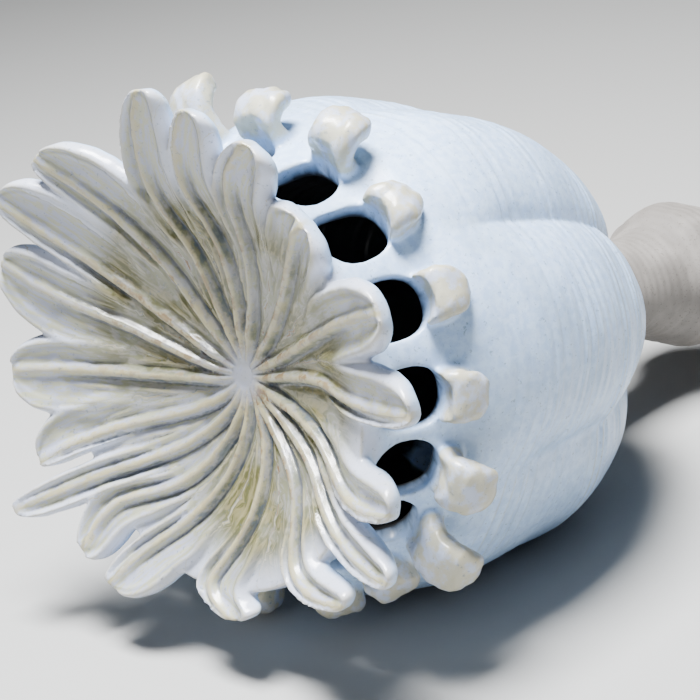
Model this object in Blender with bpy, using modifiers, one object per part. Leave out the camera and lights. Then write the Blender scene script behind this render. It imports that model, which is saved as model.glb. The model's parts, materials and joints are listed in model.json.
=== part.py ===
"""Ceramic poppy seed head: a thrown and hand-built stoneware pod that lies on its side.

The head is modelled the way it is made, upright, with its axis on Z and the crown on top,
and then laid down on two lobes of its belly. Azimuths run clockwise as seen from in front
of the crown, and start near the side that faces up once the head lies down.
Metres, +Z up.
"""

import math
from collections import namedtuple

import bpy
import numpy as np
from mathutils import Matrix

MM = 0.001

# Rays of the crown, windows and valves share one spacing
COUNT = 18
PITCH = 360.0 / COUNT
FIRST_AZIMUTH = 10.0

# Crown: a shallow bowl with its pit at height zero
CROWN_RADIUS = 101 * MM
CROWN_DEPTH = 30 * MM
BOWL_POWER = 1.5
DISC_RADIUS = 76 * MM
DISC_THICKNESS = 9 * MM

# Outside of the wall, from under the crown down to the stem, as (radius, height)
WALL_LINE = [
    (77.0, 12.0), (77.5, -2.0), (83.5, -18.0), (91.0, -32.0), (96.0, -58.0), (93.5, -88.0),
    (85.5, -121.0), (67.0, -156.0), (42.0, -181.0), (21.5, -192.0),
]
WALL_THICKNESS = 8 * MM
BASE_HEIGHT = -192 * MM
WALL_STEPS = 16
WALL_SEGMENTS = 48
HOLLOW_SEGMENTS = 32

# Lobes of the body, between furrows that a hand pressed in at these azimuths
FURROWS = [38.0, 97.0, 168.0, 214.0, 260.0, 303.0, 350.0]
FURROW_DEPTH = 10 * MM
FURROW_TOP = -20 * MM
FURROW_FULL = -75 * MM
LOBE_ROUNDNESS = 0.75

# How much fuller than even each lobe is near the stem, in the order of the furrows
LOBE_SWELLS = [-2.5, 5.0, 0.0, 0.0, 0.0, 0.0, -1.0]
SWELL_TOP = -85 * MM
SWELL_FULL = -140 * MM

# The body was not thrown quite true: its lower part leans to one side
LEAN_AZIMUTH = 158.0
LEAN_HEIGHTS = [-192 * MM, -70 * MM]
LEAN_SHIFTS = [6 * MM, 0 * MM]

# Windows, one under each ray, cut with the knife held at a slant
WINDOW_RADIUS = 78 * MM
WINDOW_HEIGHT = -1.5 * MM
WINDOW_HALF_WIDTH = 9.4 * MM
WINDOW_HALF_LENGTH = 12.5 * MM
WINDOW_SIDES = 12
WINDOW_SQUARENESS = 2.6
WINDOW_SLANT = 30.0

# Valves, the clay tongues that curl out and back from each window's lower edge
VALVE_LINE = [(79.0, -26.0), (84.5, -17.0), (91.0, -13.0), (98.0, -16.0), (99.5, -26.0)]
VALVE_HALF_WIDTH = 9.3 * MM
VALVE_THICKNESS = 10 * MM
VALVE_STATIONS = 6

# Where the hand set each window and valve: turned from its even place (degrees), and how
# much further out the valve reaches (mm)
SETTINGS = [
    (-2, -1), (-1, -9), (1, -9), (4, -8), (3, -1), (1, 6), (-2, -8), (-2, -9), (5, -5),
    (5, -5), (3, -1), (2, 0), (0, 1), (-2, 0), (1, 2), (2, 1), (-6, 8), (-5, -2),
]

# Stem: neck, ring and a short cut length, as (radius, height)
STEM_LINE = [
    (21.5, -192.3), (20.5, -209.0), (21.0, -231.0), (25.0, -246.0), (31.5, -259.0),
    (33.0, -272.0), (28.0, -284.0), (19.0, -291.0), (16.0, -297.0), (15.5, -304.0),
]
STEM_STEPS = 22
STEM_SEGMENTS = 32

# Each ray: how far its rib turns from its even place at the radii below and at the tip
# (degrees), its reach and the rise of its tip over the bowl (mm), and how far its petal
# spreads from the rib on the side of the lower and of the higher azimuth (mm)
TURN_RADII = [9.0, 22.0, 45.0, 72.0]
Ray = namedtuple("Ray", "turns reach rise low_side high_side")
RAYS = [
    Ray((-2, -2, -5, -11, -2), 97, 2, 7, 19),
    Ray((5, 3, -1, -4, -3), 85, 1, 16, 16),
    Ray((4, 3, 1, 1, 3), 106, 1, 14, 14),
    Ray((5, -2, -3, 2, 1), 111, -1, 15, 6),
    Ray((2, 0, 1, 8, 1), 102, 1, 15, 4),
    Ray((-10, -8, -6, 0, -7), 109, -2, 11, 6),
    Ray((-16, -13, -11, 1, -13), 97, 0, 12, 6),
    Ray((-28, -20, -3, 16, 6), 85, 1, 18, 8),
    Ray((-26, -11, 6, 21, 26), 95, 2, 18, 7),
    Ray((-30, -13, 3, 19, 17), 97, 0, 12, 10),
    Ray((-30, -14, 0, 9, 13), 112, 2, 8, 7),
    Ray((-24, -12, -2, 1, 0), 96, 1, 5, 16),
    Ray((-13, -4, 0, 2, 2), 98, 2, 19, 14),
    Ray((-14, -6, 0, 2, 6), 103, 2, 19, 15),
    Ray((-13, -8, -4, -2, -1), 110, 3, 7, 21),
    Ray((0, -2, 0, -2, -7), 105, 2, 9, 21),
    Ray((3, 1, 0, -3, 10), 106, 3, 10, 17),
    Ray((2, 2, -1, -9, 1), 100, 3, 4, 19),
]
RAY_STATIONS = [0.0, 0.17, 0.33, 0.47, 0.60, 0.72, 0.82, 0.90, 0.96, 1.0]
RIB_HALF_WIDTH = 2.4 * MM
RIB_HEIGHT = 3 * MM
RIM_WIDTH = 3 * MM
RIM_HEIGHT = 2.6 * MM
BLADE_THICKNESS = 8 * MM

# Resting pose: the azimuth that faces down, and how far the stem dips, are those at which
# the weight balances on the two lobes beside the lowest furrow
REST_AZIMUTH = 167.0
REST_TILT = 10.0
FLAT_DEPTH = 1.2 * MM


def clear_scene():
    for item in list(bpy.data.objects):
        bpy.data.objects.remove(item, do_unlink=True)


def new_collection(name):
    collection = bpy.data.collections.new(name)
    bpy.context.scene.collection.children.link(collection)
    return collection


def clay(name, colour, roughness, coat):
    material = bpy.data.materials.new(name)
    material.use_nodes = True
    shader = material.node_tree.nodes["Principled BSDF"]
    shader.inputs["Base Color"].default_value = (*colour, 1.0)
    shader.inputs["Roughness"].default_value = roughness
    shader.inputs["Metallic"].default_value = 0.0
    shader.inputs["Coat Weight"].default_value = coat
    material.diffuse_color = (*colour, 1.0)
    return material


def polar(radius, azimuth, height):
    """Point at a radius and height, with the azimuth in degrees, clockwise from the front."""
    angle = np.radians(azimuth)
    return np.stack([radius * np.cos(angle), -radius * np.sin(angle), height], axis=-1)


def smooth_line(points, samples):
    """Catmull-Rom curve through the points, at so many even places or at the places given."""
    points = np.asarray(points, dtype=float)
    ends = np.vstack([2 * points[0] - points[1], points, 2 * points[-1] - points[-2]])
    if isinstance(samples, int):
        samples = np.linspace(0.0, 1.0, samples)
    place = np.asarray(samples) * (len(points) - 1.0)
    index = np.minimum(place.astype(int), len(points) - 2)
    t = (place - index)[:, None]
    a, b, c, d = (ends[index + k] for k in range(4))
    return 0.5 * (2 * b + (c - a) * t + (2 * a - 5 * b + 4 * c - d) * t ** 2
                  + (3 * b - a - 3 * c + d) * t ** 3)


def ease(value, start, end):
    """Smooth step from 0 at start to 1 at end."""
    t = np.clip((value - start) / (end - start), 0.0, 1.0)
    return t * t * (3.0 - 2.0 * t)


def mesh_object(name, vertices, faces, collection):
    mesh = bpy.data.meshes.new(name)
    mesh.from_pydata([tuple(point) for point in vertices], [], faces)
    mesh.update()
    item = bpy.data.objects.new(name, mesh)
    collection.objects.link(item)
    return item


def applied(item):
    """Replace the object's mesh by the one that its modifiers make."""
    graph = bpy.context.evaluated_depsgraph_get()
    mesh = bpy.data.meshes.new_from_object(item.evaluated_get(graph))
    item.modifiers.clear()
    item.data = mesh
    return item


def turned(name, profile, segments, collection):
    """Solid of revolution about Z from a profile that runs down its outer side."""
    vertices = [(radius, 0.0, height) for radius, height in profile]
    item = mesh_object(name, vertices, [], collection)
    item.data.edges.add(len(profile) - 1)
    item.data.edges.foreach_set(
        "vertices", [end for k in range(len(profile) - 1) for end in (k, k + 1)])
    screw = item.modifiers.new("Turn", "SCREW")
    screw.steps = segments
    screw.render_steps = segments
    screw.use_merge_vertices = True
    screw.merge_threshold = 0.00005
    screw.use_smooth_shade = True
    return applied(item)


def loft(name, sections, collection):
    """Closed skin over rings of points that all have the same count, with flat ends."""
    rings, sides = len(sections), len(sections[0])
    faces = []
    for ring in range(rings - 1):
        for side in range(sides):
            after = (side + 1) % sides
            faces.append((ring * sides + side, ring * sides + after,
                          (ring + 1) * sides + after, (ring + 1) * sides + side))
    faces.append(tuple(reversed(range(sides))))
    faces.append(tuple(range((rings - 1) * sides, rings * sides)))
    return mesh_object(name, np.concatenate(sections), faces, collection)


def swept(name, line, sections, first_up, collection):
    """Loft of flat (across, up) sections carried along a line without twist."""
    line = np.asarray(line)
    ahead = np.gradient(line, axis=0)
    ahead /= np.linalg.norm(ahead, axis=1)[:, None]
    up = np.asarray(first_up, dtype=float)
    rings = []
    for point, direction, section in zip(line, ahead, sections):
        up = up - direction * np.dot(up, direction)
        up /= np.linalg.norm(up)
        across = np.cross(up, direction)
        rings.append(point + section[:, :1] * across + section[:, 1:] * up)
    return loft(name, rings, collection)


def bowl_height(radius):
    return CROWN_DEPTH * (radius / CROWN_RADIUS) ** BOWL_POWER


def lobe_shape(azimuth):
    """Fullness, one on the crest of a lobe and zero in a furrow, and the lobe's swell."""
    marks = np.array(FURROWS + [FURROWS[0] + 360.0])
    azimuth = (np.asarray(azimuth) - marks[0]) % 360.0 + marks[0]
    place = np.interp(azimuth, marks, np.arange(len(marks)))
    fullness = np.abs(np.sin(np.pi * place)) ** LOBE_ROUNDNESS
    swell = np.array(LOBE_SWELLS + LOBE_SWELLS[:1])[place.astype(int)] * MM
    return fullness, swell


def leaned(points):
    """Shift the points under the crown sideways; the bowl itself stays on the axis."""
    radius = np.hypot(points[:, 0], points[:, 1])
    height = points[:, 2]
    under = 1.0 - ease(height, -4 * MM, 14 * MM)
    outside = np.maximum(ease(radius, 60 * MM, 72 * MM), ease(-height, 10 * MM, 25 * MM))
    shift = np.interp(height, LEAN_HEIGHTS, LEAN_SHIFTS) * under * outside
    return points + polar(shift, LEAN_AZIMUTH, 0.0 * height)


def press_lobes(item):
    """Press the furrows into a turned wall, and let the wall lean a little."""
    points = np.array([vertex.co for vertex in item.data.vertices])
    radius = np.hypot(points[:, 0], points[:, 1])
    height = points[:, 2]
    azimuth = np.degrees(np.arctan2(-points[:, 1], points[:, 0]))
    fullness, swell = lobe_shape(azimuth)
    press = FURROW_DEPTH * ease(-height, -FURROW_TOP, -FURROW_FULL) * (1.0 - fullness)
    swelling = swell * ease(-height, -SWELL_TOP, -SWELL_FULL) * fullness
    radius = radius + (swelling - press) * ease(radius, 24 * MM, 60 * MM)
    points = leaned(polar(radius, azimuth, height))
    for vertex, point in zip(item.data.vertices, points):
        vertex.co = point


def wall_line(inset):
    """Outline of the wall, moved inward by the inset."""
    line = smooth_line(WALL_LINE, WALL_STEPS) * MM
    along = np.gradient(line, axis=0)
    along /= np.linalg.norm(along, axis=1)[:, None]
    inward = np.stack([along[:, 1], -along[:, 0]], axis=-1)
    return line + inset * inward


def head_outline():
    """Bowl from the pit to the edge of the disc, then down the wall to the flat base."""
    bowl_radius = np.linspace(0.0, DISC_RADIUS, 7)
    bowl = np.stack([bowl_radius, bowl_height(bowl_radius)], axis=-1)
    return np.vstack([bowl, wall_line(0.0), [(0.0, BASE_HEIGHT)]])


def hollow_outline():
    """Inside of the head: the underside of the disc, the wall and the closed base."""
    ceiling_radius = np.linspace(0.0, DISC_RADIUS - 1.9 * WALL_THICKNESS, 5)
    ceiling = np.stack([ceiling_radius, bowl_height(ceiling_radius) - DISC_THICKNESS], axis=-1)
    wall = wall_line(WALL_THICKNESS)
    wall = wall[(wall[:, 1] < ceiling[-1, 1] - 3 * MM) & (wall[:, 0] > 12 * MM)]
    floor = (0.0, wall[-1, 1] - 2 * MM)
    return np.vstack([ceiling, wall, [floor]])


def ray_azimuths():
    return FIRST_AZIMUTH + PITCH * np.arange(COUNT)


def ray_line(ray, azimuth):
    """Route of a ray's rib over the bowl from the pit to the tip: radius, azimuth, rise."""
    knots = [(radius * MM, azimuth + turn, 0.0) for radius, turn in zip(TURN_RADII, ray.turns)]
    knots[-1] = (*knots[-1][:2], 0.25 * ray.rise * MM)
    knots.append((ray.reach * MM, azimuth + ray.turns[-1], ray.rise * MM))
    return smooth_line(knots, RAY_STATIONS)


def petal_side(width, spread, rim, thickness):
    """Half of a petal's outline across its length: back, rolled rim, trough, foot of the rib."""
    rib = min(RIB_HALF_WIDTH, 0.75 * width)
    lip = min(RIM_WIDTH, 0.16 * width)
    sink = -1.6 * MM * (1.0 - spread)
    return np.array([
        (0.6 * width, -thickness),
        (width, -0.35 * thickness),
        (width - lip, sink + rim),
        (max(width - 2.6 * lip, rib + 0.3 * (width - rib)), sink + 0.1 * rim),
        (rib + 0.1 * (width - rib), sink),
        (0.7 * rib, sink + 0.45 * RIB_HEIGHT * rib / RIB_HALF_WIDTH),
    ])


def blade(ray, azimuth, name, collection):
    """One ray of the crown: a rib near the pit that spreads into a petal with rolled rims."""
    reached = np.asarray(RAY_STATIONS)
    narrow = 1.3 * MM + 2.2 * MM * ease(reached, 0.0, 0.35)
    spread = ease(reached, 0.40, 0.72)
    rounding = (1.0 - (np.clip(reached - 0.80, 0.0, 1.0) / 0.203) ** 2.6) ** (1.0 / 2.6)
    rings = []
    for (radius, turn, rise), slim, wide, round_off in zip(
            ray_line(ray, azimuth), narrow, spread, rounding):
        low, high = (round_off * (slim + (side * MM - slim) * wide)
                     for side in (ray.low_side, ray.high_side))
        thickness = BLADE_THICKNESS * (0.45 + 0.55 * round_off)
        rim = RIM_HEIGHT * wide * round_off
        crest = RIB_HEIGHT * min(1.0, 0.75 * min(low, high) / RIB_HALF_WIDTH)
        section = np.vstack([
            petal_side(low, wide, rim, thickness),
            (0.0, crest),
            petal_side(high, wide, rim, thickness)[::-1] * (-1.0, 1.0),
        ])
        across, up = section.T
        rings.append(polar(radius, turn - np.degrees(across / radius),
                           bowl_height(radius) + rise + up))
    return loft(name, rings, collection)


def valve_section(half_width, half_thick):
    """Cut slab with its corners rubbed off."""
    quarter = np.array([(half_width, 0.5 * half_thick), (0.7 * half_width, half_thick)])
    left = quarter[::-1] * (-1.0, 1.0)
    upper = np.vstack([quarter, left])
    return np.vstack([upper, -upper])


def valve(azimuth, reach, name, collection):
    """Tongue of clay that curls out of a window and back towards the stem."""
    radius, height = smooth_line(VALVE_LINE, VALVE_STATIONS).T * MM
    outward = (radius - radius[0]) / (radius.max() - radius[0])
    radius = radius + reach * MM * outward
    line = leaned(polar(radius, azimuth, height))
    reached = np.linspace(0.0, 1.0, VALVE_STATIONS)
    rounding = np.sqrt(1.0 - 0.75 * np.clip((reached - 0.7) / 0.3, 0.0, 1.0) ** 2)
    sections = [valve_section(VALVE_HALF_WIDTH * r, 0.5 * VALVE_THICKNESS * r) for r in rounding]
    return swept(name, line, sections, (0.0, 0.0, 1.0), collection)


def window_cutter(azimuth, name, collection):
    """Plug with a rounded square outline that points straight out from the axis."""
    angle = np.linspace(0.0, 2.0 * np.pi, WINDOW_SIDES, endpoint=False) + np.pi / WINDOW_SIDES
    power = 2.0 / WINDOW_SQUARENESS
    across = WINDOW_HALF_WIDTH * np.sign(np.cos(angle)) * np.abs(np.cos(angle)) ** power
    up = WINDOW_HALF_LENGTH * np.sign(np.sin(angle)) * np.abs(np.sin(angle)) ** power
    section = np.stack([across, up], axis=-1)
    radius = np.array([50 * MM, 96 * MM])
    height = WINDOW_HEIGHT + (radius - WINDOW_RADIUS) * math.tan(math.radians(WINDOW_SLANT))
    line = polar(radius, azimuth, height)
    return swept(name, line, [section, section], (0.0, 0.0, 1.0), collection)


def as_cutter(item):
    item.hide_render = True
    item.display_type = "WIRE"


def combine(item, operation, other):
    """Boolean of an object with another object, or with a whole collection."""
    modifier = item.modifiers.new(operation.title(), "BOOLEAN")
    modifier.operation = operation
    modifier.solver = "EXACT"
    if isinstance(other, bpy.types.Collection):
        modifier.operand_type = "COLLECTION"
        modifier.collection = other
    else:
        modifier.object = other
    return modifier


def remove_objects(collection):
    for item in list(collection.objects):
        bpy.data.objects.remove(item, do_unlink=True)


def make_head(parts, cutters):
    """Fired in one piece: body, struts, valves and crown."""
    added = new_collection("added clay")
    head = turned("seed_head", head_outline(), WALL_SEGMENTS, parts)
    press_lobes(head)
    for number, azimuth in enumerate(ray_azimuths()):
        turn, reach = SETTINGS[number]
        blade(RAYS[number], azimuth, f"ray_{number + 1}", added)
        valve(azimuth + turn, reach, f"valve_{number + 1}", added)
    combine(head, "UNION", added)
    applied(head)
    remove_objects(added)
    bpy.data.collections.remove(added)

    hollow = turned("hollow", hollow_outline(), HOLLOW_SEGMENTS, cutters)
    press_lobes(hollow)
    for number, azimuth in enumerate(ray_azimuths()):
        window_cutter(azimuth + SETTINGS[number][0], f"window_{number + 1}", cutters)
    for cutter in cutters.objects:
        as_cutter(cutter)
    combine(head, "DIFFERENCE", cutters)
    applied(head)
    return head


def make_stem(parts):
    """Neck, ring and cut stem, thrown apart and left unglazed."""
    line = smooth_line(STEM_LINE, STEM_STEPS) * MM
    profile = np.vstack([[(0.0, line[0, 1])], line, [(0.0, line[-1, 1])]])
    stem = turned("stem", profile, STEM_SEGMENTS, parts)
    press_lobes(stem)
    return stem


def world_points(item):
    return np.array([item.matrix_world @ vertex.co for vertex in item.data.vertices])


def lie_down(head, stem, parts, cutters):
    """Lay the pieces on the surface, centred over the origin, with small flats to rest on."""
    rest = bpy.data.objects.new("rest", None)
    parts.objects.link(rest)
    roll = math.radians(REST_AZIMUTH - 180.0)
    turn = math.radians(REST_TILT - 90.0)
    rest.matrix_world = Matrix.Rotation(turn, 4, "Y") @ Matrix.Rotation(roll, 4, "Z")
    for piece in (head, stem):
        piece.parent = rest
    bpy.context.view_layer.update()
    points = np.vstack([world_points(head), world_points(stem)])
    low, high = points.min(axis=0), points.max(axis=0)
    rest.location = (-0.5 * (low[0] + high[0]), -0.5 * (low[1] + high[1]), -low[2] - FLAT_DEPTH)
    bpy.context.view_layer.update()

    bpy.ops.mesh.primitive_cube_add(size=1.0, location=(0.0, 0.0, -0.5))
    surface = bpy.context.object
    surface.name = "surface"
    for owner in list(surface.users_collection):
        owner.objects.unlink(surface)
    cutters.objects.link(surface)
    as_cutter(surface)
    combine(head, "DIFFERENCE", surface)


def main():
    clear_scene()
    parts = new_collection("poppy seed head")
    cutters = new_collection("cutters")
    head = make_head(parts, cutters)
    stem = make_stem(parts)
    head.data.materials.clear()
    head.data.materials.append(clay("celadon_glaze", (0.66, 0.70, 0.74), 0.32, 0.6))
    stem.data.materials.append(clay("bare_stoneware", (0.50, 0.44, 0.38), 0.75, 0.0))
    for piece in (head, stem):
        piece.data.shade_smooth()
        piece.data.set_sharp_from_angle(angle=math.radians(50.0))
    lie_down(head, stem, parts, cutters)


main()
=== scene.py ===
"""Looks of the ceramic poppy seed head: its glazed clay, bare stem, floor and studio light.

The head and the stem are modelled again, finer than in the frame and from the same named
values, upright with the crown on top, and then laid where the frame has them. The windows,
ribs and rims have measures of their own, which allow for the smoothing of the clay, and the
valves that hug the wall have fuller backs than in the frame.
Azimuths run clockwise as seen from in front of the crown. Metres, +Z up.
"""

import json
import math
from collections import namedtuple

import bmesh
import bpy
import numpy as np
from mathutils import Matrix, Vector

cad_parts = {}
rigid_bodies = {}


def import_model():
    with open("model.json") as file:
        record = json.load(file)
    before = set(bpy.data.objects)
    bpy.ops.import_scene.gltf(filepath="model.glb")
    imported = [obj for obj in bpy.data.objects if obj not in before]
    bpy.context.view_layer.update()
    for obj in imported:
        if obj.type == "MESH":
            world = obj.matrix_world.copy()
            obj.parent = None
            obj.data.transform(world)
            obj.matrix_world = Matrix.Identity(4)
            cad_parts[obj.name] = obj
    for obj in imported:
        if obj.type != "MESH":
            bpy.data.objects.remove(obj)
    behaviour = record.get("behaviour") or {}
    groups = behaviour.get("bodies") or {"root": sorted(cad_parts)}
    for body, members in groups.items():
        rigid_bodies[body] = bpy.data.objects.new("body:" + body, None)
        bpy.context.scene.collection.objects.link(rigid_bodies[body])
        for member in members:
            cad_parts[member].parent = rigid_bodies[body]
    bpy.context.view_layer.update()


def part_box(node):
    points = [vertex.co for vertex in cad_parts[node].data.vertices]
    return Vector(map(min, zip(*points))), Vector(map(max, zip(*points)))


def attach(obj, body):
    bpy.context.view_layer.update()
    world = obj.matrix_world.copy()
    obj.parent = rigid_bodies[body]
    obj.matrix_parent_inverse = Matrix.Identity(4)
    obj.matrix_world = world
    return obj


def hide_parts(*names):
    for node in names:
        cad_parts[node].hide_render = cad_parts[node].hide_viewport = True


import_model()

MM = 0.001

# Rays of the crown, windows and valves share one spacing
COUNT = 18
PITCH = 360.0 / COUNT
FIRST_AZIMUTH = 10.0

# Crown: a shallow bowl with its pit at height zero
CROWN_RADIUS = 101 * MM
CROWN_DEPTH = 30 * MM
BOWL_POWER = 1.5
DISC_RADIUS = 76 * MM
DISC_THICKNESS = 9 * MM

# Outside of the wall, from under the crown down to the stem, as (radius, height)
WALL_LINE = [
    (77.0, 12.0), (77.5, -2.0), (83.5, -18.0), (91.0, -32.0), (96.0, -58.0), (93.5, -88.0),
    (85.5, -121.0), (67.0, -156.0), (42.0, -181.0), (21.5, -192.0),
]
WALL_THICKNESS = 8 * MM
BASE_HEIGHT = -192 * MM
WALL_STEPS = 120
WALL_SEGMENTS = 180

# Lobes of the body, between furrows that a hand pressed in at these azimuths
FURROWS = [38.0, 97.0, 168.0, 214.0, 260.0, 303.0, 350.0]
FURROW_DEPTH = 10 * MM
FURROW_TOP = -20 * MM
FURROW_FULL = -75 * MM
LOBE_ROUNDNESS = 0.75

# How much fuller than even each lobe is near the stem, in the order of the furrows
LOBE_SWELLS = [-2.5, 5.0, 0.0, 0.0, 0.0, 0.0, -1.0]
SWELL_TOP = -85 * MM
SWELL_FULL = -140 * MM

# The body was not thrown quite true: its lower part leans to one side
LEAN_AZIMUTH = 158.0
LEAN_HEIGHTS = [-192 * MM, -70 * MM]
LEAN_SHIFTS = [6 * MM, 0 * MM]

# Windows, one under each ray, cut with the knife held at a slant
WINDOW_RADIUS = 78 * MM
WINDOW_HEIGHT = -1.5 * MM
WINDOW_HALF_WIDTH = 10.7 * MM
WINDOW_HALF_LENGTH = 13.5 * MM
WINDOW_SIDES = 40
WINDOW_SQUARENESS = 2.6
WINDOW_SLANT = 30.0

# Valves, the clay tongues that curl out and back from each window's lower edge
VALVE_LINE = [(79.0, -26.0), (84.5, -17.0), (91.0, -13.0), (98.0, -16.0), (99.5, -26.0)]
VALVE_HALF_WIDTH = 9.3 * MM
VALVE_THICKNESS = 10 * MM
VALVE_STATIONS = 26
VALVE_SIDES = 32
VALVE_SQUARENESS = 3.4

# Valves that reach out no further than this hug the wall, so their backs are made fuller
HUGGING_REACH = -4
FULL_BACK = 1.7

# Where the hand set each window and valve: turned from its even place (degrees), and how
# much further out the valve reaches (mm)
SETTINGS = [
    (-2, -1), (-1, -9), (1, -9), (4, -8), (3, -1), (1, 6), (-2, -8), (-2, -9), (5, -5),
    (5, -5), (3, -1), (2, 0), (0, 1), (-2, 0), (1, 2), (2, 1), (-6, 8), (-5, -2),
]

# Stem: neck, ring and a short cut length, as (radius, height)
STEM_LINE = [
    (21.5, -192.3), (20.5, -209.0), (21.0, -231.0), (25.0, -246.0), (31.5, -259.0),
    (33.0, -272.0), (28.0, -284.0), (19.0, -291.0), (16.0, -297.0), (15.5, -304.0),
]
STEM_STEPS = 220
STEM_SEGMENTS = 160
SEAM_HEIGHT = -193.5 * MM

# Each ray: how far its rib turns from its even place at the radii below and at the tip
# (degrees), its reach and the rise of its tip over the bowl (mm), and how far its petal
# spreads from the rib on the side of the lower and of the higher azimuth (mm)
TURN_RADII = [9.0, 22.0, 45.0, 72.0]
Ray = namedtuple("Ray", "turns reach rise low_side high_side")
RAYS = [
    Ray((-2, -2, -5, -11, -2), 97, 2, 7, 19),
    Ray((5, 3, -1, -4, -3), 85, 1, 16, 16),
    Ray((4, 3, 1, 1, 3), 106, 1, 14, 14),
    Ray((5, -2, -3, 2, 1), 111, -1, 15, 6),
    Ray((2, 0, 1, 8, 1), 102, 1, 15, 4),
    Ray((-10, -8, -6, 0, -7), 109, -2, 11, 6),
    Ray((-16, -13, -11, 1, -13), 97, 0, 12, 6),
    Ray((-28, -20, -3, 16, 6), 85, 1, 18, 8),
    Ray((-26, -11, 6, 21, 26), 95, 2, 18, 7),
    Ray((-30, -13, 3, 19, 17), 97, 0, 12, 10),
    Ray((-30, -14, 0, 9, 13), 112, 2, 8, 7),
    Ray((-24, -12, -2, 1, 0), 96, 1, 5, 16),
    Ray((-13, -4, 0, 2, 2), 98, 2, 19, 14),
    Ray((-14, -6, 0, 2, 6), 103, 2, 19, 15),
    Ray((-13, -8, -4, -2, -1), 110, 3, 7, 21),
    Ray((0, -2, 0, -2, -7), 105, 2, 9, 21),
    Ray((3, 1, 0, -3, 10), 106, 3, 10, 17),
    Ray((2, 2, -1, -9, 1), 100, 3, 4, 19),
]
RAY_STATIONS = 64
PIT_INSET = 3.5 * MM
RIB_HALF_WIDTH = 2.3 * MM
RIB_HEIGHT = 2.9 * MM
RIM_WIDTH = 3.6 * MM
RIM_HEIGHT = 2.9 * MM
BLADE_THICKNESS = 8 * MM

# Rays whose groove runs on the side of the lower azimuth; on the others it is higher. The dark
# colour on the groove's side is painted shade.
GROOVED_LOW = range(4, 15)
GROOVE_DEPTH = 0.8 * MM
GROOVE_PLACE = 1.35 * RIB_HALF_WIDTH
GROOVE_WIDTH = 0.42 * RIB_HALF_WIDTH

# Fine ridges between the ribs, by their distance from the nearest rib
RIDGE_PLACES = [-5.0 * MM, 6.2 * MM]
RIDGE_WIDTH = 0.9 * MM
RIDGE_HEIGHT = 0.8 * MM

# Rings that the thrower's fingers left
BODY_RING_SPACING = 6.1 * MM
BODY_RING_HEIGHT = 0.28 * MM
STEM_RING_SPACING = 4.3 * MM
STEM_RING_HEIGHT = 0.10 * MM

# The olive stain of the bowl leaves out its middle and its lower part, at this azimuth
BARE_AZIMUTH = 212.0

# Resting pose, as in the frame
REST_AZIMUTH = 167.0
REST_TILT = 10.0

# Fine clay surface
VOXEL = 0.7 * MM
HEAD_TRIANGLES = 195000

# Studio: a softbox above, a weak one in front of the crown, a large floor just under the head
KEY_PLACE = (-0.2, 0.0, 1.25)
KEY_SIZE = (0.5, 0.4)
KEY_POWER = 90.0
KEY_COLOUR = (0.97, 0.98, 1.0)
FILL_PLACE = (-1.3, -0.2, 0.7)
FILL_SIZE = (0.7, 0.7)
FILL_POWER = 3.5
FILL_COLOUR = (0.95, 0.97, 1.0)
LIT_PLACE = (0.0, 0.0, 0.1)
BACKDROP_COLOUR = (0.90, 0.94, 1.0)
BACKDROP_STRENGTH = 0.05
FLOOR_SIZE = 8.0
FLOOR_HEIGHT = -0.0002

# Camera of the photograph, in the upright head's own coordinates
CAMERA_PLACE = (0.29245, -0.45506, 0.47991)
CAMERA_FACING = (-0.38592, 0.59739, -0.70299)
CAMERA_UP = (0.91006, 0.37139, -0.18400)
CAMERA_SENSOR = 36.0
CAMERA_LENS = 102.86


def polar(radius, azimuth, height):
    """Point at a radius and height, with the azimuth in degrees, clockwise from the front."""
    angle = np.radians(azimuth)
    return np.stack([radius * np.cos(angle), -radius * np.sin(angle), height], axis=-1)


def smooth_line(points, samples):
    """Catmull-Rom curve through the points, at so many even places or at the places given."""
    points = np.asarray(points, dtype=float)
    ends = np.vstack([2 * points[0] - points[1], points, 2 * points[-1] - points[-2]])
    if isinstance(samples, int):
        samples = np.linspace(0.0, 1.0, samples)
    place = np.asarray(samples) * (len(points) - 1.0)
    index = np.minimum(place.astype(int), len(points) - 2)
    t = (place - index)[:, None]
    a, b, c, d = (ends[index + k] for k in range(4))
    return 0.5 * (2 * b + (c - a) * t + (2 * a - 5 * b + 4 * c - d) * t ** 2
                  + (3 * b - a - 3 * c + d) * t ** 3)


def ease(value, start, end):
    """Smooth step from 0 at start to 1 at end."""
    t = np.clip((value - start) / (end - start), 0.0, 1.0)
    return t * t * (3.0 - 2.0 * t)


def ripples(points, wavelength, seed):
    """Smooth random field, mostly within -1 to 1, made of seeded plane waves."""
    rng = np.random.default_rng(seed)
    waves = 14
    field = np.zeros(len(points))
    for _ in range(waves):
        direction = rng.normal(size=3)
        length = wavelength * rng.uniform(0.7, 1.5)
        direction *= 2.0 * np.pi / (length * np.linalg.norm(direction))
        field += np.sin(points @ direction + rng.uniform(0.0, 2.0 * np.pi))
    return field / math.sqrt(waves)


def mesh_object(name, vertices, faces, collection):
    mesh = bpy.data.meshes.new(name)
    mesh.from_pydata([tuple(point) for point in vertices], [], faces)
    mesh.update()
    item = bpy.data.objects.new(name, mesh)
    collection.objects.link(item)
    return item


def applied(item):
    """Replace the object's mesh by the one that its modifiers make."""
    graph = bpy.context.evaluated_depsgraph_get()
    mesh = bpy.data.meshes.new_from_object(item.evaluated_get(graph))
    item.modifiers.clear()
    item.data = mesh
    return item


def vertex_array(item):
    values = np.empty(3 * len(item.data.vertices))
    item.data.vertices.foreach_get("co", values)
    return values.reshape(-1, 3)


def set_vertices(item, points):
    item.data.vertices.foreach_set("co", np.ascontiguousarray(points).ravel())
    item.data.update()


def vertex_normals(item):
    values = np.empty(3 * len(item.data.vertices))
    item.data.vertex_normals.foreach_get("vector", values)
    return values.reshape(-1, 3)


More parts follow.
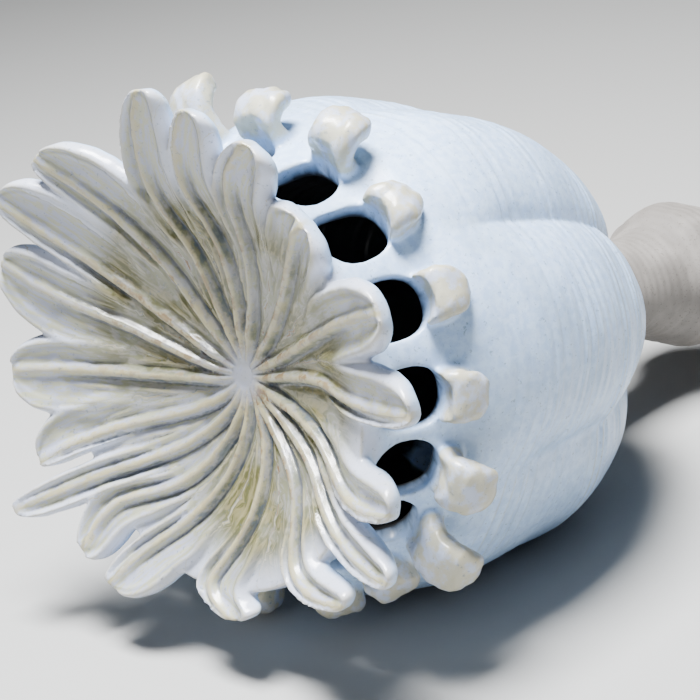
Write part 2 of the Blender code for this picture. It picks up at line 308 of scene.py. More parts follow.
def turned(name, profile, segments, collection):
    """Solid of revolution about Z from a profile that runs down its outer side."""
    vertices = [(radius, 0.0, height) for radius, height in profile]
    item = mesh_object(name, vertices, [], collection)
    item.data.edges.add(len(profile) - 1)
    item.data.edges.foreach_set(
        "vertices", [end for k in range(len(profile) - 1) for end in (k, k + 1)])
    screw = item.modifiers.new("Turn", "SCREW")
    screw.steps = segments
    screw.render_steps = segments
    screw.use_merge_vertices = True
    screw.merge_threshold = 0.00005
    return applied(item)


def loft(name, rings, collection):
    """Closed skin over rings of points, with a flat face at either end."""
    count, sides = len(rings), len(rings[0])
    faces = []
    for ring in range(count - 1):
        for side in range(sides):
            after = (side + 1) % sides
            faces.append((ring * sides + side, ring * sides + after,
                          (ring + 1) * sides + after, (ring + 1) * sides + side))
    faces.append(tuple(reversed(range(sides))))
    faces.append(tuple(range((count - 1) * sides, count * sides)))
    return mesh_object(name, np.concatenate(rings), faces, collection)


def swept(name, line, sections, first_up, collection):
    """Closed skin over flat (across, up) sections carried along a line without twist."""
    line = np.asarray(line)
    ahead = np.gradient(line, axis=0)
    ahead /= np.linalg.norm(ahead, axis=1)[:, None]
    up = np.asarray(first_up, dtype=float)
    rings = []
    for point, direction, section in zip(line, ahead, sections):
        up = up - direction * np.dot(up, direction)
        up /= np.linalg.norm(up)
        across = np.cross(up, direction)
        rings.append(point + section[:, :1] * across + section[:, 1:] * up)
    return loft(name, rings, collection)


def bowl_height(radius):
    """Height of the bowl's surface above its pit."""
    return CROWN_DEPTH * (radius / CROWN_RADIUS) ** BOWL_POWER


def lobe_shape(azimuth):
    """Fullness, one on the crest of a lobe and zero in a furrow, and the lobe's swell."""
    marks = np.array(FURROWS + [FURROWS[0] + 360.0])
    azimuth = (np.asarray(azimuth) - marks[0]) % 360.0 + marks[0]
    place = np.interp(azimuth, marks, np.arange(len(marks)))
    fullness = np.abs(np.sin(np.pi * place)) ** LOBE_ROUNDNESS
    swell = np.array(LOBE_SWELLS + LOBE_SWELLS[:1])[place.astype(int)] * MM
    return fullness, swell


def leaned(points):
    """Shift the points under the crown sideways; the bowl itself stays on the axis."""
    radius = np.hypot(points[:, 0], points[:, 1])
    height = points[:, 2]
    under = 1.0 - ease(height, -4 * MM, 14 * MM)
    outside = np.maximum(ease(radius, 60 * MM, 72 * MM), ease(-height, 10 * MM, 25 * MM))
    shift = np.interp(height, LEAN_HEIGHTS, LEAN_SHIFTS) * under * outside
    return points + polar(shift, LEAN_AZIMUTH, 0.0 * height)


def cylindrical(points):
    """Radius, azimuth in degrees and height of each point."""
    azimuth = np.degrees(np.arctan2(-points[:, 1], points[:, 0])) % 360.0
    return np.hypot(points[:, 0], points[:, 1]), azimuth, points[:, 2]


def press_lobes(item):
    """Press the furrows into a turned wall, and let the wall lean a little."""
    radius, azimuth, height = cylindrical(vertex_array(item))
    fullness, swell = lobe_shape(azimuth)
    press = FURROW_DEPTH * ease(-height, -FURROW_TOP, -FURROW_FULL) * (1.0 - fullness)
    swelling = swell * ease(-height, -SWELL_TOP, -SWELL_FULL) * fullness
    radius = radius + (swelling - press) * ease(radius, 24 * MM, 60 * MM)
    set_vertices(item, leaned(polar(radius, azimuth, height)))


def wall_line(inset):
    """Outline of the wall, moved inward by the inset."""
    line = smooth_line(WALL_LINE, WALL_STEPS) * MM
    along = np.gradient(line, axis=0)
    along /= np.linalg.norm(along, axis=1)[:, None]
    inward = np.stack([along[:, 1], -along[:, 0]], axis=-1)
    return line + inset * inward


def head_outline():
    """Bowl from the pit to the edge of the disc, then down the wall to the flat base."""
    bowl_radius = np.linspace(0.0, DISC_RADIUS, 50)
    bowl = np.stack([bowl_radius, bowl_height(bowl_radius)], axis=-1)
    return np.vstack([bowl, wall_line(0.0), [(0.0, BASE_HEIGHT)]])


def hollow_outline():
    """Inside of the head: the underside of the disc, the wall and the closed base."""
    ceiling_radius = np.linspace(0.0, DISC_RADIUS - 1.9 * WALL_THICKNESS, 30)
    ceiling = np.stack([ceiling_radius, bowl_height(ceiling_radius) - DISC_THICKNESS], axis=-1)
    wall = wall_line(WALL_THICKNESS)
    wall = wall[(wall[:, 1] < ceiling[-1, 1] - 3 * MM) & (wall[:, 0] > 12 * MM)]
    floor = (0.0, wall[-1, 1] - 2 * MM)
    return np.vstack([ceiling, wall, [floor]])


def ray_azimuths():
    return FIRST_AZIMUTH + PITCH * np.arange(COUNT)


def ray_course(ray, azimuth):
    """The rib's radius, azimuth and rise, and both widths of its petal, along the ray."""
    reached = np.sin(0.5 * np.pi * np.linspace(0.0, 1.0, RAY_STATIONS)) ** 1.1
    knots = [(radius * MM, azimuth + turn, 0.0) for radius, turn in zip(TURN_RADII, ray.turns)]
    knots[-1] = (*knots[-1][:2], 0.25 * ray.rise * MM)
    knots.append((ray.reach * MM, azimuth + ray.turns[-1], ray.rise * MM))
    radius, turn, rise = smooth_line(knots, reached).T
    radius = radius - PIT_INSET * (1.0 - ease(reached, 0.0, 0.25))
    narrow = 0.16 * radius + 1.4 * MM * ease(reached, 0.1, 0.4)
    narrow = np.minimum(narrow, 3.5 * MM)
    spread = ease(reached, 0.40, 0.72)
    rounding = (1.0 - (np.clip(reached - 0.80, 0.0, 1.0) / 0.2015) ** 2.6) ** (1.0 / 2.6)
    low, high = (rounding * (narrow + (side * MM - narrow) * spread)
                 for side in (ray.low_side, ray.high_side))
    return np.stack([radius, turn, rise, low, high, spread, rounding], axis=-1)


def petal_side(width, crest, spread, rim, thickness):
    """Half of a petal's outline across its length: back, edge, rolled rim, trough and rib."""
    rib = min(RIB_HALF_WIDTH, 0.8 * width)
    lip = min(RIM_WIDTH, 0.24 * width)
    across = width * np.sin(0.5 * np.pi * np.linspace(1.0, 0.0, 37)[:-1])
    roll = rim * np.exp(-((across - (width - lip)) / (0.72 * lip)) ** 2)
    corner = np.clip((across - (width - lip)) / lip, 0.0, 1.0)
    level = -1.6 * MM + 2.0 * MM * spread + roll
    level = level - 0.38 * thickness * (1.0 - np.sqrt(1.0 - corner ** 2))
    bead = np.sqrt(np.clip(1.0 - (across / rib) ** 2, 0.0, 1.0))
    top = np.stack([across, level + (crest - level) * bead], axis=-1)
    under = 0.5 * np.pi * np.linspace(0.05, 0.95, 10)
    back = -0.38 * thickness - 0.62 * thickness * np.cos(under) ** 0.8
    return np.vstack([np.stack([width * np.sin(under), back], axis=-1), top])


def blade(ray, azimuth, name, collection):
    """One ray of the crown: a rib near the pit that spreads into a petal with rolled rims."""
    rings = []
    for radius, turn, rise, low, high, spread, rounding in ray_course(ray, azimuth):
        thickness = BLADE_THICKNESS * (0.45 + 0.55 * rounding)
        rim = RIM_HEIGHT * spread * rounding
        crest = RIB_HEIGHT * min(1.0, (0.8 * min(low, high) / RIB_HALF_WIDTH) ** 0.7)
        crest *= 0.25 + 0.75 * rounding ** 2
        section = np.vstack([
            petal_side(low, crest, spread, rim, thickness),
            (0.0, crest),
            petal_side(high, crest, spread, rim, thickness)[::-1] * (-1.0, 1.0),
        ])
        across, up = section.T
        rings.append(polar(radius, turn - np.degrees(across / radius),
                           bowl_height(radius) + rise + up))
    return loft(name, rings, collection)


def crown_marks(points):
    """Distance from the nearest rib, positive on its grooved side, and from its petal's edge."""
    radius, azimuth, _ = cylindrical(points)
    nearest = np.full(len(points), 1.0)
    edge = np.full(len(points), 0.02)
    for number, even in enumerate(ray_azimuths()):
        course = ray_course(RAYS[number], even)
        order = np.argsort(course[:, 0])
        along, turn, low, high = course[order][:, [0, 1, 3, 4]].T
        slope = np.interp(radius, along, np.gradient(np.radians(turn), along)) * radius
        apart = (np.interp(radius, along, turn) - azimuth + 180.0) % 360.0 - 180.0
        across = np.radians(apart) * radius
        width = np.where(across > 0.0, np.interp(radius, along, low),
                         np.interp(radius, along, high))
        offset = across / np.sqrt(1.0 + slope ** 2)
        closer = np.abs(offset) < np.abs(nearest)
        side = 1.0 if number in GROOVED_LOW else -1.0
        nearest[closer] = side * offset[closer]
        edge[closer] = (width - np.abs(across))[closer]
    return nearest, edge


def rounded_square(sides, squareness):
    """Outline of a square with rounded corners, one unit from its middle to each side."""
    angle = np.linspace(0.0, 2.0 * np.pi, sides, endpoint=False)
    power = 2.0 / squareness
    return [np.sign(wave) * np.abs(wave) ** power for wave in (np.cos(angle), np.sin(angle))]


def valve_section(half_width, above, below):
    """Cut slab with its corners rubbed off."""
    across, up = rounded_square(VALVE_SIDES, VALVE_SQUARENESS)
    return np.stack([half_width * across, np.where(up > 0.0, above, below) * up], axis=-1)


def valve(azimuth, reach, name, collection):
    """Tongue of clay that curls out of a window and back towards the stem."""
    radius, height = smooth_line(VALVE_LINE, VALVE_STATIONS).T * MM
    outward = (radius - radius[0]) / (radius.max() - radius[0])
    radius = radius + reach * MM * outward
    line = leaned(polar(radius, azimuth, height))
    reached = np.linspace(0.0, 1.0, VALVE_STATIONS)
    rounding = np.sqrt(1.0 - 0.85 * np.clip((reached - 0.7) / 0.3, 0.0, 1.0) ** 2)
    above = 0.5 * VALVE_THICKNESS
    below = above * (1.0 if reach > HUGGING_REACH else FULL_BACK)
    sections = [valve_section(VALVE_HALF_WIDTH * r, above * r, below * r) for r in rounding]
    return swept(name, line, sections, (0.0, 0.0, 1.0), collection)


def window_cutter(azimuth, name, collection):
    """Plug with a rounded square outline that points straight out from the axis."""
    across, up = rounded_square(WINDOW_SIDES, WINDOW_SQUARENESS)
    section = np.stack([WINDOW_HALF_WIDTH * across, WINDOW_HALF_LENGTH * up], axis=-1)
    radius = np.array([50 * MM, 96 * MM])
    height = WINDOW_HEIGHT + (radius - WINDOW_RADIUS) * math.tan(math.radians(WINDOW_SLANT))
    line = polar(radius, azimuth, height)
    return swept(name, line, [section, section], (0.0, 0.0, 1.0), collection)


def combine(item, operation, collection):
    """Join or cut away all the objects of a collection, and then remove them."""
    modifier = item.modifiers.new(operation.title(), "BOOLEAN")
    modifier.operation = operation
    modifier.solver = "MANIFOLD"
    modifier.operand_type = "COLLECTION"
    modifier.collection = collection
    applied(item)
    for other in list(collection.objects):
        bpy.data.objects.remove(other, do_unlink=True)
    bpy.data.collections.remove(collection)


def new_collection(name):
    collection = bpy.data.collections.new(name)
    bpy.context.scene.collection.children.link(collection)
    return collection


def raw_head(pieces):
    """The head's clay before smoothing: body, crown and valves joined, inside cut away."""
    head = turned("head_clay", head_outline(), WALL_SEGMENTS, pieces)
    press_lobes(head)
    added = new_collection("added clay")
    cutters = new_collection("cut clay")
    for number, azimuth in enumerate(ray_azimuths()):
        turn, reach = SETTINGS[number]
        blade(RAYS[number], azimuth, f"ray_{number + 1}", added)
        valve(azimuth + turn, reach, f"valve_{number + 1}", added)
        window_cutter(azimuth + turn, f"window_{number + 1}", cutters)
    combine(head, "UNION", added)
    hollow = turned("hollow", hollow_outline(), WALL_SEGMENTS, cutters)
    press_lobes(hollow)
    combine(head, "DIFFERENCE", cutters)
    return head


def remeshed(item, voxel):
    modifier = item.modifiers.new("Even", "REMESH")
    modifier.mode = "VOXEL"
    modifier.voxel_size = voxel
    return applied(item)


def reduced(item, triangles):
    modifier = item.modifiers.new("Reduce", "DECIMATE")
    item.data.calc_loop_triangles()
    modifier.ratio = min(1.0, triangles / len(item.data.loop_triangles))
    return applied(item)


def drop_flaps(item):
    """Remove the pairs of faces that lie back to back on the same corners."""
    clay = bmesh.new()
    clay.from_mesh(item.data)
    seen, flaps = {}, []
    for face in clay.faces:
        corners = frozenset(corner.index for corner in face.verts)
        if corners in seen:
            flaps += [seen[corners], face]
        seen[corners] = face
    bmesh.ops.delete(clay, geom=flaps, context="FACES")
    clay.to_mesh(item.data)
    clay.free()


def neighbours(item):
    """Both ends of every edge, and how many edges each vertex has."""
    edges = np.empty(2 * len(item.data.edges), dtype=np.int64)
    item.data.edges.foreach_get("vertices", edges)
    first, second = edges.reshape(-1, 2).T
    count = len(item.data.vertices)
    degree = np.bincount(first, minlength=count) + np.bincount(second, minlength=count)
    return first, second, np.maximum(degree, 1)


def averaged(values, links):
    """Mean of each vertex's neighbours."""
    first, second, degree = links
    result = np.empty_like(values)
    for axis in range(values.shape[1]):
        total = np.bincount(first, values[second, axis], len(values))
        total += np.bincount(second, values[first, axis], len(values))
        result[:, axis] = total / degree
    return result


def relaxed(points, links, rounds, strength):
    """Laplacian smoothing, with its strength given for each vertex."""
    for _ in range(rounds):
        points = points + strength[:, None] * (averaged(points, links) - points)
    return points


def wall_radius(height):
    """Outer radius of the unpressed wall at a height."""
    radii, heights = np.array(WALL_LINE).T * MM
    return np.interp(-height, -heights, radii)


def zones(points):
    """How far each point belongs to the crown, and to the valves."""
    radius, _, height = cylindrical(points)
    crown = ease(height - bowl_height(radius), -12 * MM, -5 * MM)
    proud = ease(radius - wall_radius(height), 1.0 * MM, 4.0 * MM)
    return crown, proud * ease(-height, 3 * MM, 7 * MM) * ease(height, -42 * MM, -38 * MM)


def smooth_clay(points, links):
    """Soften the joins: most round the windows, little on the valves and the crown."""
    radius, _, height = cylindrical(points)
    crown, valves = zones(points)
    ring = ease(radius, 58 * MM, 64 * MM) * ease(height, -50 * MM, -38 * MM)
    ring *= (1.0 - crown) * (1.0 - valves)
    centre = crown * (1.0 - ease(radius, 16 * MM, 30 * MM))
    points = relaxed(points, links, 3, 0.5 - 0.35 * centre)
    return relaxed(points, links, 9, 0.5 * ring + 0.05 * (1.0 - centre))


def crown_lines(offset, radius, points):
    """Height of the fine ridges and grooves beside each rib of the crown."""
    fade = ease(radius, 8 * MM, 16 * MM) * (1.0 - ease(radius, 66 * MM, 92 * MM))
    grooved, plain_side = (
        np.exp(-((offset - side * GROOVE_PLACE) / GROOVE_WIDTH) ** 2) for side in (1.0, -1.0))
    between = ease(radius, 15 * MM, 26 * MM) * (1.0 - ease(radius, 60 * MM, 82 * MM))
    ridge = sum(np.exp(-((offset - place) / RIDGE_WIDTH) ** 2) for place in RIDGE_PLACES)
    ridge *= np.clip(0.6 + 0.6 * ripples(points, 26 * MM, 29), 0.0, 1.4)
    return RIDGE_HEIGHT * ridge * between - GROOVE_DEPTH * (grooved + 0.4 * plain_side) * fade


def shaped_by_hand(points, normals):
    """Unevenness of the clay: throwing rings, lines by the ribs, dents on the valves."""
    radius, azimuth, height = cylindrical(points)
    crown, valves = zones(points)
    upper = crown * ease(normals[:, 2], -0.1, 0.3)
    body = (1.0 - crown) * (1.0 - valves) * ease(-height, 30 * MM, 44 * MM)
    wander = 1.2 * MM * np.sin(np.radians(azimuth) + 0.7)
    turns = 2.0 * np.pi * (height + wander) / BODY_RING_SPACING
    turns += 1.4 * ripples(points, 60 * MM, 3)
    rings = np.sin(turns) + 0.5 * np.sin(2.3 * turns + 1.0)
    rings *= np.clip(0.6 + 0.5 * ripples(points * (0.2, 0.2, 1.0), 26 * MM, 5), 0.1, 1.5)
    lift = BODY_RING_HEIGHT * rings * body
    lift += 0.30 * MM * ripples(points, 34 * MM, 7) * (1.0 - 0.6 * crown)
    lift += 0.14 * MM * ripples(points, 9 * MM, 11) * (0.25 + 0.75 * crown)
    lift += upper * crown_lines(crown_marks(points)[0], radius, points)
    lift += valves * MM * (0.4 * ripples(points, 12 * MM, 17) + 0.2 * ripples(points, 5 * MM, 19))
    return points + lift[:, None] * normals


def depth_below(points, normals, links, rounds):
    """How far each point lies in a hollow of the surface, against its smoothed self."""
    flat = relaxed(points, links, rounds, 0.6 * np.ones(len(points)))
    return ((flat - points) * normals).sum(axis=1)


def glaze_fields(points, normals, links):
    """Where the glaze pools, thins and stains, and where shade and highlight are painted, as one
    value each for every point.
    """
    radius, azimuth, height = cylindrical(points)
    over_bowl = height - bowl_height(radius)
    crown, valves = zones(points)
    offset, edge = crown_marks(points)
    wall = wall_radius(height)
    bare = np.clip(np.cos(np.radians(azimuth - BARE_AZIMUTH)), 0.0, 1.0) ** 2
    struts = ease(radius, 60 * MM, 66 * MM) * ease(height, -26 * MM, -20 * MM)
    struts *= (1.0 - crown) * (1.0 - valves)
    facing_in = (normals[:, :2] * points[:, :2]).sum(axis=1) < 0.0
    inside = (radius < wall - 7 * MM - FURROW_DEPTH) | ((radius < wall - 6 * MM) & facing_in)
    return {
        # Creases are positive and sharp edges negative; creases get painted shade, edges a painted
        # highlight
        "crease": depth_below(points, normals, links, 6) / (0.12 * MM),
        # Hollows, where blue glaze gathers and where shade is painted too
        "pool_and_shade": depth_below(points, normals, links, 50) / (0.9 * MM) * (1.0 - struts),
        "crown": crown * ease(normals[:, 2], -0.25, 0.25),
        "reach": radius / MM,
        "stain": ease(radius, 4 * MM, 11 * MM) * ease(-radius, -86 * MM, -42 * MM)
        * (1.0 - 0.85 * bare),
        "rib": offset / MM,
        "lip": edge / MM,
        "valve": valves,
        # inside: the hollow of the head, where shade is painted nearly black
        "inside": (inside & (over_bowl < -5.5 * MM)).astype(float),
    }


def fine_clay(item, voxel, triangles):
    """Even out the clay, smooth and model it, mark its glaze, and thin it where it is plain."""
    remeshed(item, voxel)
    links = neighbours(item)
    set_vertices(item, smooth_clay(vertex_array(item), links))
    points = shaped_by_hand(vertex_array(item), vertex_normals(item))
    set_vertices(item, points)
    for name, values in glaze_fields(points, vertex_normals(item), links).items():
        attribute = item.data.attributes.new(name, "FLOAT", "POINT")
        attribute.data.foreach_set("value", np.ascontiguousarray(values))
    reduced(item, triangles)
    drop_flaps(item)
    item.data.shade_smooth()
    return item


def make_stem(pieces):
    """Neck, ring and cut stem, thrown apart and left unglazed."""
    line = smooth_line(STEM_LINE, STEM_STEPS) * MM
    profile = np.vstack([[(0.0, line[0, 1])], line, [(0.0, line[-1, 1])]])
    stem = turned("stem_clay", profile, STEM_SEGMENTS, pieces)
    press_lobes(stem)
    points = vertex_array(stem)
    radius, _, height = cylindrical(points)
    side = ease(radius, 8 * MM, 14 * MM)
    turns = 2.0 * np.pi * height / STEM_RING_SPACING + 2.0 * ripples(points, 50 * MM, 21)
    lift = STEM_RING_HEIGHT * np.sin(turns) + 0.25 * MM * ripples(points, 22 * MM, 23)
    lift *= side
    below_seam = height < SEAM_HEIGHT
    set_vertices(stem, points + (lift * below_seam)[:, None] * vertex_normals(stem))
    stem.data.shade_smooth()
    stem.data.set_sharp_from_angle(angle=math.radians(50.0))
    return stem


class Recipe:
    """Short calls that add shader nodes to one material."""

    def __init__(self, name):
        self.material = bpy.data.materials.new(name)
        self.material.use_nodes = True
        self.nodes = self.material.node_tree.nodes
        self.links = self.material.node_tree.links
        self.shader = self.nodes["Principled BSDF"]
        self.place = self.nodes.new("ShaderNodeTexCoord").outputs["Object"]

    def put(self, socket, value):
        if isinstance(value, bpy.types.NodeSocket):
            self.links.new(value, socket)
        elif isinstance(value, tuple) and socket.type == "RGBA":
            socket.default_value = (*value, 1.0)
        else:
            socket.default_value = value

    def attribute(self, name):
        node = self.nodes.new("ShaderNodeAttribute")
        node.attribute_name = name
        return node.outputs["Fac"]

    def noise(self, size, detail, roughness=0.5, stretch=(1.0, 1.0, 1.0)):
        mapping = self.nodes.new("ShaderNodeMapping")
        mapping.inputs["Scale"].default_value = stretch
        self.links.new(self.place, mapping.inputs["Vector"])
        node = self.nodes.new("ShaderNodeTexNoise")
        self.links.new(mapping.outputs["Vector"], node.inputs["Vector"])
        node.inputs["Scale"].default_value = 1.0 / size
        node.inputs["Detail"].default_value = detail
        node.inputs["Roughness"].default_value = roughness
        return node.outputs["Fac"]

    def streaks(self, width, length, drift):
        """Noise drawn out along the ribs, its width and length in millimetres."""
        place = self.nodes.new("ShaderNodeCombineXYZ")
        self.put(place.inputs[0], self.math("DIVIDE", self.attribute("rib"), width))
        self.put(place.inputs[1], self.math("DIVIDE", self.attribute("reach"), length))
        self.put(place.inputs[2], self.math("MULTIPLY", drift, 12.0))
        node = self.nodes.new("ShaderNodeTexNoise")
        self.links.new(place.outputs[0], node.inputs["Vector"])
        node.inputs["Scale"].default_value = 1.0
        node.inputs["Detail"].default_value = 3.0
        return node.outputs["Fac"]

    def math(self, operation, first, second=0.0):
        node = self.nodes.new("ShaderNodeMath")
        node.operation = operation
        self.put(node.inputs[0], first)
        self.put(node.inputs[1], second)
        return node.outputs[0]

    def step(self, value, start, end, low=0.0, high=1.0):
        node = self.nodes.new("ShaderNodeMapRange")
        node.interpolation_type = "SMOOTHSTEP"
        self.put(node.inputs["Value"], value)
        for name, number in (("From Min", start), ("From Max", end),
                             ("To Min", low), ("To Max", high)):
            node.inputs[name].default_value = number
        return node.outputs["Result"]

    def blend(self, factor, first, second):
        node = self.nodes.new("ShaderNodeMix")
        node.data_type = "RGBA"
        self.put(node.inputs[0], factor)
        self.put(node.inputs[6], first)
        self.put(node.inputs[7], second)
        return node.outputs[2]

    def bump(self, height, distance, strength=1.0):
        node = self.nodes.new("ShaderNodeBump")
        node.inputs["Distance"].default_value = distance
        node.inputs["Strength"].default_value = strength
        self.links.new(height, node.inputs["Height"])
        self.links.new(node.outputs["Normal"], self.shader.inputs["Normal"])


# Colours of the glaze, linear
ICE = (0.42, 0.60, 0.89)
ICE_PALE = (0.54, 0.72, 0.98)
ICE_SHADE = (0.34, 0.45, 0.60)
# blue of glaze gathered in hollows and of speckles, also used as painted shade in hollows and
# grooves
POOLED_BLUE = (0.09, 0.14, 0.21)
# painted shade for the grooves beside the ribs
SLATE_GROOVE_SHADE = (0.17, 0.17, 0.15)
IVORY = (0.43, 0.44, 0.34)
# pale glaze on the petals' rolled rims, also a painted highlight there
RIM_WHITE_AND_HIGHLIGHT = (0.52, 0.56, 0.67)
CREAM = (0.46, 0.41, 0.24)
PALE_SLIP = (0.45, 0.48, 0.57)
OLIVE = (0.10, 0.10, 0.03)
OCHRE = (0.25, 0.22, 0.09)
RUST = (0.17, 0.08, 0.025)
LAVENDER = (0.39, 0.42, 0.53)
# painted shade for the deepest creases
CREASE_SHADE = (0.02, 0.03, 0.06)
# painted shade for the hollow inside, seen through the windows
INSIDE_SHADE = (0.008, 0.008, 0.009)


def body_colour(mix, cloud):
    grain = mix.noise(3.2 * MM, 4.0, 0.6)
    colour = mix.blend(mix.step(grain, 0.36, 0.64), ICE_PALE, ICE)
    drift = mix.math("MULTIPLY", mix.step(cloud, 0.46, 0.66), 0.35)
    return mix.blend(drift, colour, ICE_SHADE)


def crown_colour(mix, cloud, mottle):
    """Ivory petals with white rims that also carry a painted highlight, cream ribs, an olive
    stain, and grooves painted dark as shade, with some blue glaze gathered in them.
    """
    rib, lip = mix.attribute("rib"), mix.attribute("lip")
    stain = mix.attribute("stain")
    waver = mix.math("ADD", rib, mix.step(mottle, 0.3, 0.7, -0.9, 0.9))
    off_rib = mix.math("ABSOLUTE", waver)
    streak = mix.streaks(1.1, 13.0, cloud)
    colour = mix.blend(mix.step(streak, 0.42, 0.58), IVORY, LAVENDER)
    outer = mix.step(mix.attribute("reach"), 50.0, 72.0)
    # Rims of the outer petals painted white: pale glaze thinning there, and a painted highlight
    rim = mix.math("MULTIPLY", mix.step(lip, 4.4, 2.0), mix.step(cloud, 0.30, 0.52, 0.4, 1.0))
    colour = mix.blend(mix.math("MULTIPLY", rim, outer), colour, RIM_WHITE_AND_HIGHLIGHT)

    patch = mix.math("MULTIPLY", mix.step(stain, 0.05, 0.60),
                     mix.step(cloud, 0.38, 0.56, 0.6, 1.0))
    tone = mix.blend(mix.step(streak, 0.42, 0.62), OLIVE, OCHRE)
    trough = mix.math("MULTIPLY", patch, mix.step(off_rib, 1.0, 3.0, 0.5, 1.0))
    colour = mix.blend(mix.math("MULTIPLY", trough, 0.95), colour, tone)
    crest = mix.math("MULTIPLY", mix.step(off_rib, 1.6, 0.6),
                     mix.step(cloud, 0.34, 0.56, 0.2, 0.75))
    colour = mix.blend(crest, colour, CREAM)
    worn = mix.math("MULTIPLY", stain, mix.step(off_rib, 1.7, 0.5))
    worn = mix.math("MULTIPLY", worn, mix.step(mottle, 0.47, 0.57, 0.0, 0.85))
    colour = mix.blend(worn, colour, RUST)

    line = mix.math("MULTIPLY", mix.step(lip, 3.8, 5.4), mix.step(lip, 7.6, 5.8, 0.0, 0.35))
    colour = mix.blend(mix.math("MULTIPLY", line, outer), colour, OLIVE)
    # Painted shade: a dark line along one side of each rib, slate grey mixed with blue glaze that
    # gathers there
    groove_shade_mask = mix.math("MULTIPLY", mix.step(waver, 1.9, 2.5), mix.step(waver, 3.7, 3.0, 0.0, 0.6))
    groove_shade_mask = mix.math("MULTIPLY", groove_shade_mask, mix.step(cloud, 0.36, 0.56, 0.1, 1.0))
    groove_shade_mask = mix.math("MULTIPLY", groove_shade_mask, mix.step(mix.attribute("reach"), 84.0, 52.0))
    pooled_glaze_and_shade = mix.blend(mix.step(mottle, 0.42, 0.58), SLATE_GROOVE_SHADE, POOLED_BLUE)
    colour = mix.blend(groove_shade_mask, colour, pooled_glaze_and_shade)
    hub = mix.step(mix.attribute("reach"), 14.0, 5.0, 0.0, 0.75)
    return mix.blend(hub, colour, LAVENDER)


def glaze():
    """Pale glaze that pools blue in hollows, breaks cream on edges and stains olive, with painted
    shade in the hollows, creases, grooves and inside, and a painted highlight on edges and rims.
    """
    mix = Recipe("celadon_glaze")
    crease, pool_and_shade = mix.attribute("crease"), mix.attribute("pool_and_shade")
    crown, inside = mix.attribute("crown"), mix.attribute("inside")
    cloud = mix.noise(26 * MM, 4.0)
    mottle = mix.noise(6 * MM, 4.0, 0.6)
    speckle = mix.noise(1.8 * MM, 3.0, 0.7)

    colour = body_colour(mix, cloud)
    face = mix.blend(mix.step(mottle, 0.44, 0.62), CREAM, PALE_SLIP)
    tongue = mix.math("MULTIPLY", mix.attribute("valve"), 0.85)
    colour = mix.blend(tongue, colour, face)
    colour = mix.blend(crown, colour, crown_colour(mix, cloud, mottle))

    # Sharp edges turn cream: partly the glaze breaking thin, partly a painted highlight
    edge = mix.step(crease, -0.5, -2.0, 0.0, 0.45)
    colour = mix.blend(edge, colour, CREAM)
    # Hollows painted blue: partly glaze gathered there, partly painted shade
    pooled_glaze_and_shade = mix.math("MULTIPLY", mix.step(pool_and_shade, 0.3, 1.6), mix.step(speckle, 0.25, 0.6, 0.0, 0.6))
    pooled_glaze_and_shade = mix.math("MULTIPLY", pooled_glaze_and_shade, mix.step(crown, 0.0, 1.0, 1.0, 0.15))
    colour = mix.blend(pooled_glaze_and_shade, colour, POOLED_BLUE)
    # Painted shade: the deepest creases are darkened nearly to black
    colour = mix.blend(mix.step(crease, 1.2, 3.6, 0.0, 0.7), colour, CREASE_SHADE)
    colour = mix.blend(mix.step(speckle, 0.60, 0.70, 0.0, 0.5), colour, POOLED_BLUE)
    # Painted shade: the inside of the head, seen through the windows, is painted nearly black
    colour = mix.blend(inside, colour, INSIDE_SHADE)
    mix.put(mix.shader.inputs["Base Color"], colour)

    gloss = mix.blend(crown, (0.38, 0.38, 0.38), (0.27, 0.27, 0.27))
    # The painted shade inside is also made matte
    mix.put(mix.shader.inputs["Roughness"], mix.blend(inside, gloss, (0.9, 0.9, 0.9)))
    mix.shader.inputs["Coat Weight"].default_value = 0.3
    mix.shader.inputs["Coat Roughness"].default_value = 0.15
    peel = mix.noise(1.6 * MM, 2.0)
    mix.bump(mix.math("ADD", peel, mix.math("MULTIPLY", mottle, 1.5)), 0.12 * MM, 0.5)
    return mix.material


# Colours of the floor and of the bare clay, linear
FLOOR = (0.40, 0.40, 0.39)
CLAY = (0.18, 0.165, 0.15)
CLAY_LIGHT = (0.25, 0.23, 0.21)
CLAY_DARK = (0.10, 0.085, 0.07)


def bare_clay():
    """Unglazed stoneware with fine grog."""
    mix = Recipe("bare_stoneware")
    grain = mix.noise(1.1 * MM, 3.0, 0.7)
    cloud = mix.noise(18 * MM, 3.0)
    colour = mix.blend(mix.step(cloud, 0.35, 0.65), CLAY, CLAY_LIGHT)
    colour = mix.blend(mix.step(grain, 0.58, 0.72), colour, CLAY_DARK)
    mix.put(mix.shader.inputs["Base Color"], colour)
    mix.shader.inputs["Roughness"].default_value = 0.72
    mix.bump(grain, 0.15 * MM, 0.7)
    return mix.material


def plain(name, colour, roughness):
    mix = Recipe(name)
    mix.put(mix.shader.inputs["Base Color"], colour)
    mix.shader.inputs["Roughness"].default_value = roughness
    return mix.material


def upright_turn():
    """Turn that takes the upright head to how it lies."""
    roll = Matrix.Rotation(math.radians(REST_AZIMUTH - 180.0), 4, "Z")
    return Matrix.Rotation(math.radians(REST_TILT - 90.0), 4, "Y") @ roll


def lay_down(item, resting):
    """Lay the piece on the surface, with the small flats that it rests on rubbed level."""
    item.data.transform(resting)
    points = vertex_array(item)
    points[:, 2] = np.maximum(points[:, 2], 0.0)
    set_vertices(item, points)


def resting_place(stem):
    """The whole move from upright to lying, from where the frame has the stem."""
    turn = upright_turn()
    points = vertex_array(stem) @ np.array(turn.to_3x3()).T
    middle = 0.5 * (points.min(axis=0) + points.max(axis=0))
    low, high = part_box("stem")
    wanted = 0.5 * (np.array(low) + np.array(high))
    return Matrix.Translation(Vector(wanted - middle)) @ turn


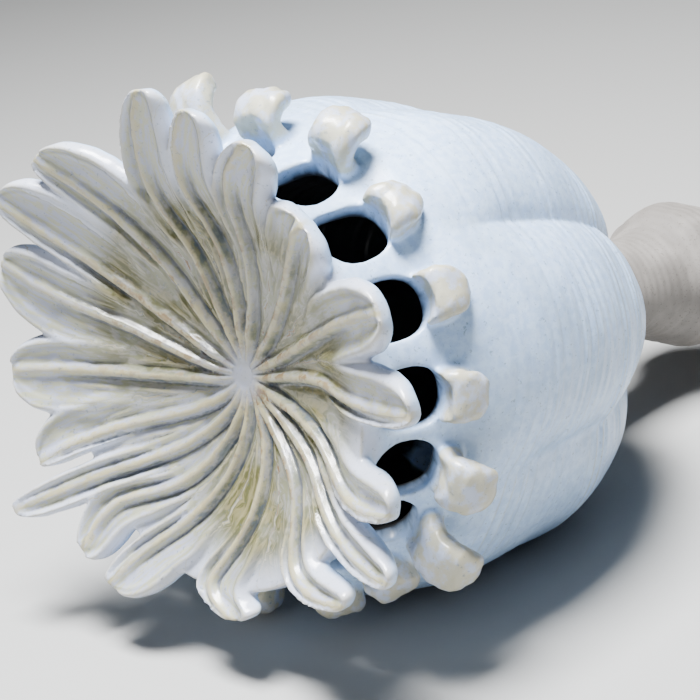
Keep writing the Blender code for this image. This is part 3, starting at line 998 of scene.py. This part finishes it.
def add_camera(resting):
    facing, up = Vector(CAMERA_FACING), Vector(CAMERA_UP)
    right = facing.cross(up)
    axes = Matrix((right, up, -facing)).transposed().to_4x4()
    data = bpy.data.cameras.new("camera")
    data.sensor_width = CAMERA_SENSOR
    data.lens = CAMERA_LENS
    data.clip_start = 0.01
    camera = bpy.data.objects.new("camera", data)
    bpy.context.scene.collection.objects.link(camera)
    camera.matrix_world = resting @ Matrix.Translation(Vector(CAMERA_PLACE)) @ axes
    bpy.context.scene.camera = camera


def add_floor():
    bpy.ops.mesh.primitive_plane_add(size=FLOOR_SIZE, location=(0.0, 0.0, FLOOR_HEIGHT))
    floor = bpy.context.object
    floor.name = "floor"
    floor.data.materials.append(plain("pale_floor", FLOOR, 0.85))


def add_softbox(name, place, size, power, colour):
    data = bpy.data.lights.new(name, "AREA")
    data.shape = "RECTANGLE"
    data.size, data.size_y = size
    data.energy = power
    data.color = colour
    light = bpy.data.objects.new(name, data)
    bpy.context.scene.collection.objects.link(light)
    light.location = place
    aim = Vector(LIT_PLACE) - Vector(place)
    light.rotation_euler = aim.to_track_quat("-Z", "Y").to_euler()


def add_lights():
    add_softbox("key", KEY_PLACE, KEY_SIZE, KEY_POWER, KEY_COLOUR)
    add_softbox("fill", FILL_PLACE, FILL_SIZE, FILL_POWER, FILL_COLOUR)
    world = bpy.data.worlds.new("studio")
    world.use_nodes = True
    backdrop = world.node_tree.nodes["Background"]
    backdrop.inputs["Color"].default_value = (*BACKDROP_COLOUR, 1.0)
    backdrop.inputs["Strength"].default_value = BACKDROP_STRENGTH
    bpy.context.scene.world = world


def main():
    pieces = new_collection("fine clay")
    stem = make_stem(pieces)
    head = raw_head(pieces)
    fine_clay(head, VOXEL, HEAD_TRIANGLES)
    resting = resting_place(stem)
    for item, node, slot, material in (
            (head, "seed_head", "celadon_glaze", glaze()),
            (stem, "stem", "bare_stoneware", bare_clay())):
        item.data.materials.clear()
        item.data.materials.append(material)
        lay_down(item, resting)
        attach(item, "root")
        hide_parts(node)
    add_camera(resting)
    add_floor()
    add_lights()


main()
